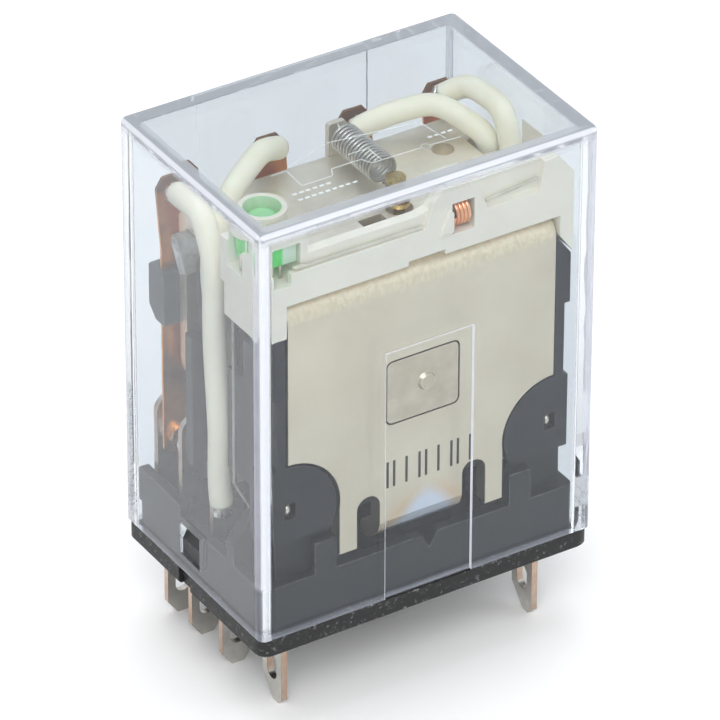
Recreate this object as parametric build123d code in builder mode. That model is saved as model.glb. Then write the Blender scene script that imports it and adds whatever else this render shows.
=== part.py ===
# Four-pole plug-in relay: clear snap-on case, moulded base with fourteen blades, hinged armature
# that carries four changeover springs, and an indicator lamp on a carrier across the front.
# Millimetres. +Z up, -Y is the wide front, origin at the centre of the base's underside.

import os
from build123d import *

os.makedirs("parts", exist_ok=True)

# ------------------------------------------------------------------ case
case_width = 28.0
case_depth = 19.0
case_top = 35.5
case_bottom = 1.6
wall = 1.0
roof = 1.1
case_corner_r = 0.6
panel_half = 3.65
panel_top = 22.5
panel_depth = 0.2
rear_panel_half = 7.1
window_y = 0.3
window_width = 2.7
window_bottom = 2.9
window_top = 5.6

# ------------------------------------------------------------------ base
flange_width = 27.9
flange_depth = 18.9
flange_height = 1.5
plug_half_x = 12.8
plug_half_y = 8.3
floor_top = 3.6
rim_top = 5.4
rim_thickness = 0.8
tab_inner = 7.3
tab_outer = 9.1
tab_top = 8.0

# ------------------------------------------------------------------ blades
pole_pitch = 7.15
pole_positions = [-1.5 * pole_pitch, -0.5 * pole_pitch, 0.5 * pole_pitch, 1.5 * pole_pitch]
com_y = -0.6
no_y = 3.7
nc_y = 7.1
coil_blade_x = 10.7
coil_blade_y = -5.9
blade_tip = -6.4
blade_width = 2.6
blade_thickness = 0.5
blade_slot_gap = 0.04
blade_chamfer = 0.8
blade_chamfer_height = 1.1
blade_eye_z = -3.6
blade_eye_width = 1.3
blade_eye_height = 2.1
contact_z = 10.0
fixed_blade_top = 12.8
com_blade_top = 8.3

# ------------------------------------------------------------------ magnet system
yoke_front = -8.0
yoke_thickness = 1.2
yoke_half = 11.1
yoke_top = 28.2
yoke_rear = 4.1
yoke_bend_r = 1.5
leg_bottom = 6.1
leg_inner = 5.4
leg_outer = 6.85
tongue_half = 3.5
tongue_bend_z = 8.0
ear_centre_x = 11.2
ear_centre_z = 10.8
ear_cut_r = 4.4
ear_foot = 8.7
lug_inner = 10.95
lug_outer = 12.3
notch_inner = 9.95
notch_front = -0.75
notch_rear = 1.5
core_x = 0.1
core_z = 18.25
core_width = 5.9
core_height = 5.1
core_gap = 0.13
pole_face_y = 3.5
bobbin_front = -6.75
bobbin_rear = 3.0
bobbin_cheek = 0.9
winding_half_x = 8.1
winding_half_z = 7.5

# ------------------------------------------------------------------ armature and springs
armature_front = 4.2
armature_rear = 5.2
armature_half = 11.0
armature_bottom = 14.4
armature_top_low = 28.24
armature_top = 29.3
armature_reach = -4.6
spring_y = 5.85
spring_thickness = 0.2
spring_width = 2.8
spring_bottom = 8.6
spring_top = 31.4
card_half = 12.3
card_bottom = 19.9
card_top = 24.4
card_rear = 7.3
button_r = 1.0
button_height = 0.45
anchor_x = 1.6
anchor_y = -2.3
lead_r = 0.85


# ================================================================== case
with BuildPart() as cover:
    with BuildSketch(Plane.XY.offset(case_bottom)):
        RectangleRounded(case_width, case_depth, case_corner_r)
    extrude(amount=case_top - case_bottom)
    fillet(cover.faces().sort_by(Axis.Z)[-1].edges(), 0.45)
    with BuildSketch(Plane.XY.offset(case_bottom)):
        RectangleRounded(case_width - 2 * wall, case_depth - 2 * wall, 0.5)
    extrude(amount=case_top - roof - case_bottom, mode=Mode.SUBTRACT)
    # shallow panel in the front wall, open at the bottom
    with BuildSketch(Plane.XZ.offset(case_depth / 2)):
        with Locations((0, (case_bottom + panel_top) / 2)):
            Rectangle(2 * panel_half, panel_top - case_bottom)
    extrude(amount=-panel_depth, mode=Mode.SUBTRACT)
    # shallow panel in the rear wall
    with BuildSketch(Plane.XZ.offset(-case_depth / 2)):
        with Locations((-0.8, (case_bottom + 34.8) / 2)):
            Rectangle(2 * rear_panel_half, 34.8 - case_bottom)
    extrude(amount=panel_depth, mode=Mode.SUBTRACT)
    # latch windows in the two narrow walls
    with BuildSketch(Plane.YZ.offset(-case_width / 2 - 1)):
        with Locations((window_y, (window_bottom + window_top) / 2)):
            Rectangle(window_width, window_top - window_bottom)
    extrude(amount=case_width + 2, mode=Mode.SUBTRACT)
cover.part.label = "cover"
export_step(cover.part, "parts/cover.step")

# ================================================================== base
with BuildPart() as base:
    with BuildSketch(Plane.XY):
        RectangleRounded(flange_width, flange_depth, 1.0)
    extrude(amount=flange_height)
    chamfer(base.faces().sort_by(Axis.Z)[0].edges(), 0.2)
    with BuildSketch(Plane.XY.offset(flange_height)):
        RectangleRounded(2 * plug_half_x, 2 * plug_half_y, 0.5)
    extrude(amount=rim_top - flange_height)
    # open well inside the rim
    with BuildSketch(Plane.XY.offset(floor_top)):
        Rectangle(2 * (plug_half_x - rim_thickness), 2 * (plug_half_y - rim_thickness))
    extrude(amount=rim_top - floor_top, mode=Mode.SUBTRACT)
    # two tall tabs on the front rim
    with BuildSketch(Plane.XZ.offset(plug_half_y - rim_thickness)):
        with Locations(((tab_inner + tab_outer) / 2, (floor_top + tab_top) / 2),
                       (-(tab_inner + tab_outer) / 2, (floor_top + tab_top) / 2)):
            Rectangle(tab_outer - tab_inner, tab_top - floor_top)
    extrude(amount=rim_thickness)
    # notch in the front rim
    with BuildSketch(Plane.XZ.offset(plug_half_y - rim_thickness)):
        with BuildLine():
            Polyline((-0.1, rim_top + 0.1), (0.6, rim_top - 1.2), (1.3, rim_top + 0.1), close=True)
        make_face()
    extrude(amount=rim_thickness, mode=Mode.SUBTRACT)
    # pedestal under the yoke's tongue and two rests under its legs
    with BuildSketch(Plane.XY.offset(floor_top)):
        with Locations((0, -5.4)):
            Rectangle(6.4, 3.2)
    extrude(amount=tongue_bend_z - 2.65 - floor_top)
    with BuildSketch(Plane.XY.offset(floor_top)):
        with Locations((6.15, -6.6), (-6.15, -6.6)):
            Rectangle(1.5, 1.8)
    extrude(amount=leg_bottom - 0.05 - floor_top)
    # walls under the bobbin's ears
    with BuildSketch(Plane.XY.offset(floor_top)):
        with Locations((9.7, -7.2), (-9.7, -7.2)):
            Rectangle(4.6, 0.6)
    extrude(amount=ear_foot - 0.15 - floor_top)
    # partitions between the poles
    with BuildSketch(Plane.XY.offset(floor_top)):
        with Locations((0, 5.3), (-pole_pitch, 5.3), (pole_pitch, 5.3)):
            Rectangle(0.9, 4.6)
    extrude(amount=4.2)
    # raised rear rim
    with BuildSketch(Plane.XY.offset(floor_top)):
        with Locations((0, plug_half_y - rim_thickness / 2)):
            Rectangle(23.0, rim_thickness)
    extrude(amount=3.5)
    # raised rear ends of the two side rims
    with BuildSketch(Plane.XY.offset(floor_top)):
        with Locations((plug_half_x - rim_thickness / 2, 5.4), (-plug_half_x + rim_thickness / 2, 5.4)):
            Rectangle(rim_thickness, 5.8)
    extrude(amount=2.75)
    # corner gussets at the ends of the front
    with BuildSketch(Plane.XZ.offset(3.9)):
        with BuildLine():
            Polyline((11.2, floor_top), (11.2, 9.2), (12.8, 7.0), (12.8, floor_top), close=True)
        make_face()
        mirror(about=Plane.YZ)
    extrude(amount=1.0)
    # collars around the inner ends of the blades
    with BuildSketch(Plane.XY.offset(floor_top)):
        with Locations(*[(x, no_y) for x in pole_positions]):
            Rectangle(blade_width + 1.2, 1.5)
    extrude(amount=1.6)
    # latch noses
    with BuildSketch(Plane.XZ.offset(-1.58)):
        with BuildLine():
            Polyline((12.5, 3.0), (13.8, 3.0), (13.8, 4.2), (13.2, 5.3), (12.5, 5.3), close=True)
        make_face()
        mirror(about=Plane.YZ)
    extrude(amount=2.56)
    # slots for the contact blades
    with BuildSketch(Plane.XY):
        with Locations(*[(x, y) for x in pole_positions for y in (com_y, no_y, nc_y)]):
            Rectangle(blade_width + 2 * blade_slot_gap, blade_thickness + 2 * blade_slot_gap)
        with Locations((coil_blade_x, coil_blade_y), (-coil_blade_x, coil_blade_y)):
            Rectangle(blade_thickness + 2 * blade_slot_gap, blade_width + 2 * blade_slot_gap)
    extrude(amount=9, mode=Mode.SUBTRACT)
    # small orientation notch in the left edge of the flange
    with BuildSketch(Plane.XY):
        with Locations((-flange_width / 2, 1.2)):
            Rectangle(0.8, 1.6)
    extrude(amount=flange_height, mode=Mode.SUBTRACT)
base.part.label = "base"
export_step(base.part, "parts/base.step")


# ================================================================== blades
def contact_blade(x, y, top, label, rounded):
    """One flat contact terminal, parallel to the wide face."""
    half = blade_width / 2
    with BuildPart() as blade:
        with BuildSketch(Plane.XZ.offset(-y - blade_thickness / 2)) as outline:
            with Locations((0, (blade_tip + top) / 2)):
                Rectangle(blade_width, top - blade_tip)
            if rounded:
                fillet(outline.vertices().group_by(Axis.Y)[-1], half - 0.06)
            for corner in (-1, 1):
                with BuildLine():
                    Polyline((corner * half, blade_tip), (corner * (half - blade_chamfer), blade_tip),
                             (corner * half, blade_tip + blade_chamfer_height), close=True)
                make_face(mode=Mode.SUBTRACT)
            with Locations((0, blade_eye_z)):
                SlotOverall(blade_eye_height, blade_eye_width, rotation=90, mode=Mode.SUBTRACT)
            if rounded:
                with Locations((0, contact_z)):
                    Circle(0.5, mode=Mode.SUBTRACT)
        extrude(amount=blade_thickness)
    moved = blade.part.moved(Location((x, 0, 0)))
    moved.label = label
    export_step(moved, f"parts/{label}.step")


for index, pole_x in enumerate(pole_positions, start=1):
    contact_blade(pole_x, com_y, com_blade_top, f"com_terminal_{index}", False)
    contact_blade(pole_x, no_y, fixed_blade_top, f"no_terminal_{index}", True)
    contact_blade(pole_x, nc_y, fixed_blade_top, f"nc_terminal_{index}", True)

for side, label in ((-1, "coil_terminal_left"), (1, "coil_terminal_right")):
    with BuildPart() as coil_blade:
        with BuildSketch(Plane.YZ.offset(side * coil_blade_x - blade_thickness / 2)):
            with Locations((coil_blade_y, (blade_tip + 4.6) / 2)):
                Rectangle(blade_width, 4.6 - blade_tip)
            with Locations((coil_blade_y + 0.5, 6.0)):
                Rectangle(1.0, 4.0)
            with Locations((coil_blade_y, blade_eye_z)):
                SlotOverall(blade_eye_height, blade_eye_width, rotation=90, mode=Mode.SUBTRACT)
            for corner, cut, rise in ((-1, 0.45, 0.45), (1, 1.5, 1.7)):
                with BuildLine():
                    Polyline((coil_blade_y + corner * blade_width / 2, blade_tip),
                             (coil_blade_y + corner * (blade_width / 2 - cut), blade_tip),
                             (coil_blade_y + corner * blade_width / 2, blade_tip + rise),
                             close=True)
                make_face(mode=Mode.SUBTRACT)
        extrude(amount=blade_thickness)
    coil_blade.part.label = label
    export_step(coil_blade.part, f"parts/{label}.step")

# ================================================================== fixed contact rivets
fixed_head = 0.5
with BuildPart() as no_contacts:
    for pole_x in pole_positions:
        with BuildSketch(Plane.XZ.offset(-no_y - blade_thickness / 2 - fixed_head)):
            with Locations((pole_x, contact_z)):
                Circle(1.1)
        extrude(amount=fixed_head)
        with BuildSketch(Plane.XZ.offset(-no_y - blade_thickness / 2)):
            with Locations((pole_x, contact_z)):
                Circle(0.48)
        extrude(amount=blade_thickness)
        with BuildSketch(Plane.XZ.offset(-no_y + blade_thickness / 2)):
            with Locations((pole_x, contact_z)):
                Circle(0.85)
        extrude(amount=0.35)
no_contacts.part.label = "no_contacts"
export_step(no_contacts.part, "parts/no_contacts.step")

with BuildPart() as nc_contacts:
    for pole_x in pole_positions:
        with BuildSketch(Plane.XZ.offset(-nc_y + blade_thickness / 2)):
            with Locations((pole_x, contact_z)):
                Circle(1.1)
        extrude(amount=fixed_head - 0.05)
        with BuildSketch(Plane.XZ.offset(-nc_y - blade_thickness / 2)):
            with Locations((pole_x, contact_z)):
                Circle(0.48)
        extrude(amount=blade_thickness)
        with BuildSketch(Plane.XZ.offset(-nc_y - blade_thickness / 2 - 0.35)):
            with Locations((pole_x, contact_z)):
                Circle(0.85)
        extrude(amount=0.35)
nc_contacts.part.label = "nc_contacts"
export_step(nc_contacts.part, "parts/nc_contacts.step")

# ================================================================== yoke
yoke_inner = yoke_front + yoke_thickness
with BuildPart() as yoke:
    with BuildSketch(Plane.YZ.offset(-yoke_half)):
        with BuildLine():
            FilletPolyline((yoke_front, leg_bottom), (yoke_front, yoke_top), (yoke_rear, yoke_top),
                           radius=yoke_bend_r)
            Line((yoke_rear, yoke_top), (yoke_rear, yoke_top - yoke_thickness))
            FilletPolyline((yoke_rear, yoke_top - yoke_thickness),
                           (yoke_inner, yoke_top - yoke_thickness), (yoke_inner, leg_bottom),
                           radius=yoke_bend_r - yoke_thickness)
            Line((yoke_inner, leg_bottom), (yoke_front, leg_bottom))
        make_face()
    extrude(amount=2 * yoke_half)
    # round cut-outs for the bobbin's ears, slots beside the tongue, opening for the core
    with BuildSketch(Plane.XZ.offset(-yoke_inner - 0.1)):
        for side in (-1, 1):
            with Locations((side * ear_centre_x, ear_centre_z)):
                Circle(ear_cut_r)
            with Locations((side * (leg_outer + 6), (leg_bottom + ear_centre_z) / 2 - 0.5)):
                Rectangle(12, ear_centre_z - leg_bottom + 1)
            slot_middle = (leg_inner + tongue_half) / 2
            slot_half = (leg_inner - tongue_half) / 2
            with Locations((side * slot_middle, 9.25)):
                Circle(slot_half)
            with Locations((side * slot_middle, 7.25)):
                Rectangle(2 * slot_half, 4.0)
        with Locations((0, tongue_bend_z - 2)):
            Rectangle(2 * tongue_half, 4)
        with Locations((core_x, core_z)):
            RectangleRounded(core_width + 2 * core_gap, core_height + 2 * core_gap, 0.55)
    extrude(amount=yoke_thickness + 0.4, mode=Mode.SUBTRACT)
    # tongue, curled inwards at its foot
    with BuildSketch(Plane.YZ.offset(-tongue_half)):
        with BuildLine():
            Polyline((yoke_front, tongue_bend_z), (yoke_front, 7.5), (yoke_front + 0.25, 6.7),
                     (yoke_front + 0.9, 6.0), (yoke_front + 1.7, 5.55), (yoke_front + 2.6, 5.4),
                     (yoke_front + 2.6, 6.5), (yoke_front + 2.0, 6.6), (yoke_front + 1.5, 6.95),
                     (yoke_inner, 7.6), (yoke_inner, tongue_bend_z), close=True)
        make_face()
    extrude(amount=2 * tongue_half)
    # hinge lugs at the rear corners, turned down and forwards
    with BuildSketch(Plane.YZ.offset(lug_inner)):
        with BuildLine():
            Polyline((yoke_rear, yoke_top), (3.3, yoke_top), (2.1, 25.9), (3.0, 25.5), (yoke_rear, 27.5),
                     close=True)
        make_face()
    extrude(amount=lug_outer - lug_inner)
    with BuildSketch(Plane.YZ.offset(-lug_outer)):
        with BuildLine():
            Polyline((yoke_rear, yoke_top), (3.3, yoke_top), (2.1, 25.9), (3.0, 25.5), (yoke_rear, 27.5),
                     close=True)
        make_face()
    extrude(amount=lug_outer - lug_inner)
    # notches that let two of the leads pass
    with BuildSketch(Plane.XY.offset(yoke_top - yoke_thickness - 0.1)):
        for side in (-1, 1):
            with Locations((side * (notch_inner + 1), (notch_front + notch_rear) / 2)):
                Rectangle(2, notch_rear - notch_front)
    extrude(amount=yoke_thickness + 0.2, mode=Mode.SUBTRACT)
    # opening under the armature's slot
    with BuildSketch(Plane.XY.offset(yoke_top - yoke_thickness - 0.1)):
        with Locations((-0.9, -2.9)):
            Rectangle(2.1, 1.4)
    extrude(amount=yoke_thickness + 0.2, mode=Mode.SUBTRACT)
    # seat for the spring anchor
    with BuildSketch(Plane.XY.offset(yoke_top - yoke_thickness - 0.1)):
        with Locations((anchor_x, anchor_y)):
            Circle(0.45)
    extrude(amount=yoke_thickness + 0.2, mode=Mode.SUBTRACT)
yoke.part.label = "yoke"
export_step(yoke.part, "parts/yoke.step")

with BuildPart() as core:
    with BuildSketch(Plane.XZ.offset(-pole_face_y)):
        with Locations((core_x, core_z)):
            RectangleRounded(core_width, core_height, 0.45)
    extrude(amount=pole_face_y - yoke_front)
    # staked dimple in the front end
    with BuildSketch(Plane.XZ.offset(-yoke_front)):
        with Locations((core_x + 0.3, core_z + 0.1)):
            Circle(0.75)
    extrude(amount=0.25, taper=35)
core.part.label = "core"
export_step(core.part, "parts/core.step")

# ================================================================== bobbin and winding
tube_half_x = core_width / 2 + 0.95
tube_half_z = core_height / 2 + 0.95
with BuildPart() as bobbin:
    with BuildSketch(Plane.XZ.offset(-bobbin_rear)):
        with Locations((core_x, core_z)):
            RectangleRounded(2 * tube_half_x, 2 * tube_half_z, 0.9)
    extrude(amount=bobbin_rear - bobbin_front)
    # rear cheek, rounded at its lower corners
    with BuildSketch(Plane.XZ.offset(-bobbin_rear)) as cheek:
        with Locations((0, (13.6 + 26.4) / 2)):
            Rectangle(2 * 10.9, 26.4 - 13.6)
        fillet(cheek.vertices().group_by(Axis.Y)[0], 2.6)
    extrude(amount=bobbin_cheek)
    # lower apron of the rear cheek, wider than the cheek itself
    with BuildSketch(Plane.XZ.offset(-bobbin_rear)):
        with Locations((0, (9.6 + 20.5) / 2)):
            Rectangle(2 * 11.9, 20.5 - 9.6)
    extrude(amount=bobbin_cheek)
    # front cheek with the side wings that frame the yoke plate
    with BuildSketch(Plane.XZ.offset(-bobbin_front - bobbin_cheek)):
        with Locations((0, (ear_foot + 26.4) / 2)):
            Rectangle(2 * 11.0, 26.4 - ear_foot)
        with Locations((0, (ear_foot + 21.0) / 2)):
            Rectangle(2 * 12.0, 21.0 - ear_foot)
        with Locations((0, (20.9 + 25.0) / 2)):
            Rectangle(2 * 12.45, 25.0 - 20.9)
    extrude(amount=bobbin_cheek)
    with BuildSketch(Plane.XZ.offset(-bobbin_front)):
        for side in (-1, 1):
            with Locations((side * 11.63, (14.6 + 21.0) / 2)):
                Rectangle(0.75, 21.0 - 14.6)
        with BuildLine():
            Polyline((-11.25, 20.9), (-12.45, 20.9), (-12.45, 25.8), (-11.25, 25.8), close=True)
        make_face()
        with BuildLine():
            Polyline((11.25, 20.9), (12.45, 20.9), (12.45, 25.0), (11.25, 26.7), close=True)
        make_face()
    extrude(amount=1.15)
    # side plates beside the winding
    with BuildSketch(Plane.XZ.offset(-bobbin_front - bobbin_cheek)):
        with Locations((11.65, (12.6 + 21.0) / 2), (-11.65, (12.6 + 21.0) / 2)):
            Rectangle(0.7, 21.0 - 12.6)
    extrude(amount=-2.9)
    # ears that show through the yoke's lower cut-outs
    with BuildSketch(Plane.XZ.offset(-bobbin_front)):
        with Locations((ear_centre_x, ear_centre_z), (-ear_centre_x, ear_centre_z)):
            Circle(ear_cut_r - 0.25)
        with Locations((0, ear_foot - 5)):
            Rectangle(40, 10, mode=Mode.SUBTRACT)
        with Locations((12.4 + 5, 12), (-12.4 - 5, 12)):
            Rectangle(10, 20, mode=Mode.SUBTRACT)
    extrude(amount=1.15)
    # small windows in the ears, and the bore for the core
    with BuildSketch(Plane.XZ.offset(-bobbin_front + 0.4)):
        with Locations((10.9, 11.2), (-10.9, 11.2)):
            Rectangle(0.9, 1.3)
    extrude(amount=1.6, mode=Mode.SUBTRACT)
    with BuildSketch(Plane.XZ.offset(-bobbin_rear - 1)):
        with Locations((core_x, core_z)):
            RectangleRounded(core_width + 0.1, core_height + 0.1, 0.5)
    extrude(amount=bobbin_rear - bobbin_front + 2, mode=Mode.SUBTRACT)
bobbin.part.label = "bobbin"
export_step(bobbin.part, "parts/bobbin.step")

wind_front = bobbin_front + bobbin_cheek + 0.05
wind_rear = bobbin_rear - bobbin_cheek - 0.05
with BuildPart() as coil_winding:
    with BuildSketch(Plane.XZ.offset(-wind_rear)):
        with Locations((core_x, core_z)):
            RectangleRounded(2 * winding_half_x, 2 * winding_half_z, 4.0)
            RectangleRounded(2 * tube_half_x + 0.06, 2 * tube_half_z + 0.06, 0.9, mode=Mode.SUBTRACT)
    extrude(amount=wind_rear - wind_front)
coil_winding.part.label = "coil_winding"
export_step(coil_winding.part, "parts/coil_winding.step")

with BuildPart() as coil_tape:
    with BuildSketch(Plane.XZ.offset(-wind_rear)):
        with Locations((core_x, core_z)):
            RectangleRounded(2 * winding_half_x + 0.5, 2 * winding_half_z + 0.5, 4.2)
            RectangleRounded(2 * winding_half_x + 0.06, 2 * winding_half_z + 0.06, 4.0,
                             mode=Mode.SUBTRACT)
    extrude(amount=wind_rear - wind_front)
coil_tape.part.label = "coil_tape"
export_step(coil_tape.part, "parts/coil_tape.step")

# ================================================================== armature
with BuildPart() as armature:
    with BuildSketch(Plane.YZ.offset(-armature_half)):
        with BuildLine():
            Polyline((armature_front, armature_bottom), (armature_front, armature_top_low),
                     (armature_reach, armature_top_low), (armature_reach, armature_top),
                     (armature_rear - 0.35, armature_top), (armature_rear, armature_top - 0.35),
                     (armature_rear, armature_bottom), close=True)
        make_face()
    extrude(amount=2 * armature_half)
    fillet(armature.edges().filter_by(Axis.Y).group_by(Axis.Z)[0], 2.6)
    # clearance around the anchor, a slot beside it and a round hole further out
    with BuildSketch(Plane.XY.offset(armature_top_low - 0.1)):
        with Locations((anchor_x, anchor_y)):
            Circle(1.0)
        with Locations((-0.9, -2.9)):
            Rectangle(1.9, 1.2)
        with Locations((7.85, 1.3)):
            Circle(0.8)
        for side in (-1, 1):
            with Locations((side * (notch_inner + 1), (notch_front + notch_rear) / 2)):
                Rectangle(2, notch_rear - notch_front)
        with Locations((-10.1, armature_reach + 0.85)):
            Rectangle(2.2, 1.9)
    extrude(amount=1.4, mode=Mode.SUBTRACT)
    # upright hook for the return spring
    with BuildSketch(Plane.XZ.offset(-armature_rear)):
        with Locations((1.2, 30.4)):
            RectangleRounded(1.5, 3.0, 0.3)
        with Locations((1.2, 31.0)):
            Circle(0.32, mode=Mode.SUBTRACT)
    extrude(amount=0.5)
    # holes for the card's two pegs
    with BuildSketch(Plane.XZ.offset(-armature_rear - 0.1)):
        with Locations((-5.4, 22.1), (5.4, 22.1)):
            Circle(0.82)
    extrude(amount=1.3, mode=Mode.SUBTRACT)
armature.part.label = "armature"
export_step(armature.part, "parts/armature.step")

with BuildPart() as contact_card:
    with BuildSketch(Plane.YZ.offset(-card_half)):
        with BuildLine():
            Polyline((armature_rear, card_bottom), (card_rear - 0.9, card_bottom),
                     (card_rear, card_bottom + 0.9), (card_rear, card_top - 0.3),
                     (card_rear - 0.3, card_top), (armature_rear, card_top), close=True)
        make_face()
    extrude(amount=2 * card_half)
    with BuildSketch(Plane.XY.offset(card_bottom - 0.1)):
        with Locations(*[(x, spring_y) for x in pole_positions]):
            Rectangle(spring_width + 0.06, spring_thickness + 0.06)
    extrude(amount=card_top - card_bottom + 0.2, mode=Mode.SUBTRACT)
    # pegs through the armature, with flattened heads
    with BuildSketch(Plane.XZ.offset(-armature_rear)):
        with Locations((-5.4, 22.1), (5.4, 22.1)):
            Circle(0.8)
    extrude(amount=armature_rear - armature_front)
contact_card.part.label = "contact_card"
export_step(contact_card.part, "parts/contact_card.step")

# changeover springs: straight through the card, leaning back above it
lean_z = 26.0
lean_rear = 0.75
for index, pole_x in enumerate(pole_positions, start=1):
    front = spring_y - spring_thickness / 2
    back = spring_y + spring_thickness / 2
    with BuildPart() as moving_spring:
        with BuildSketch(Plane.YZ.offset(pole_x - spring_width / 2)):
            with BuildLine():
                Polyline((front, spring_bottom), (front, lean_z), (front + lean_rear, spring_top),
                         (back + lean_rear, spring_top), (back, lean_z), (back, spring_bottom), close=True)
            make_face()
        extrude(amount=spring_width)
        with BuildSketch(Plane.XZ.offset(-8.5)):
            with Locations((pole_x, contact_z)):
                Circle(0.5)
            for side in (-1, 1):
                # clipped top corners and a solder notch
                with BuildLine():
                    Polyline((pole_x + side * 1.5, spring_top + 0.1), (pole_x + side * 0.7, spring_top + 0.1),
                             (pole_x + side * 1.5, spring_top - 0.9), close=True)
                make_face()
                with BuildLine():
                    Polyline((pole_x + side * 1.5, spring_bottom - 0.1),
                             (pole_x + side * 0.8, spring_bottom - 0.1),
                             (pole_x + side * 1.5, spring_bottom + 0.6), close=True)
                make_face()
        extrude(amount=4, mode=Mode.SUBTRACT)
    moving_spring.part.label = f"moving_spring_{index}"
    export_step(moving_spring.part, f"parts/moving_spring_{index}.step")

with BuildPart() as moving_contacts:
    for pole_x in pole_positions:
        with BuildSketch(Plane.XZ.offset(-spring_y - spring_thickness / 2 - button_height + 0.03)):
            with Locations((pole_x, contact_z)):
                Circle(button_r)
        extrude(amount=button_height - 0.03)
        with BuildSketch(Plane.XZ.offset(-spring_y - spring_thickness / 2)):
            with Locations((pole_x, contact_z)):
                Circle(0.48)
        extrude(amount=spring_thickness)
        with BuildSketch(Plane.XZ.offset(-spring_y + spring_thickness / 2)):
            with Locations((pole_x, contact_z)):
                Circle(button_r)
        extrude(amount=button_height)
moving_contacts.part.label = "moving_contacts"
export_step(moving_contacts.part, "parts/moving_contacts.step")

# ================================================================== return spring and its anchor
with BuildPart() as spring_anchor:
    with BuildSketch(Plane.XY.offset(yoke_top - yoke_thickness)):
        with Locations((anchor_x, anchor_y)):
            Circle(0.43)
    extrude(amount=30.6 - yoke_top + yoke_thickness)
    with BuildSketch(Plane.XY.offset(30.6)):
        with Locations((anchor_x, anchor_y)):
            Circle(0.75)
    extrude(amount=0.4)
    with BuildSketch(Plane.XY.offset(29.6)):
        with Locations((anchor_x, anchor_y)):
            Circle(0.75)
    extrude(amount=0.35)
spring_anchor.part.label = "spring_anchor"
export_step(spring_anchor.part, "parts/spring_anchor.step")

coil_r = 1.03
coil_turns = 13
coil_start = -1.2
coil_end = 4.1
spring_axis_z = 31.0
with BuildPart() as return_spring:
    pitch = (coil_end - coil_start) / coil_turns
    # close turns, drawn as one ring per turn
    for turn in range(coil_turns):
        ring_y = coil_start + pitch * (turn + 0.5)
        with BuildSketch(Plane.XY.offset(spring_axis_z)):
            with Locations((1.3 + coil_r, ring_y)):
                Circle(pitch * 0.5 + 0.005)
        revolve(axis=Axis((1.3, 0, spring_axis_z), (0, 1, 0)))
return_spring.part.label = "return_spring"
export_step(return_spring.part, "parts/return_spring.step")

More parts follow.
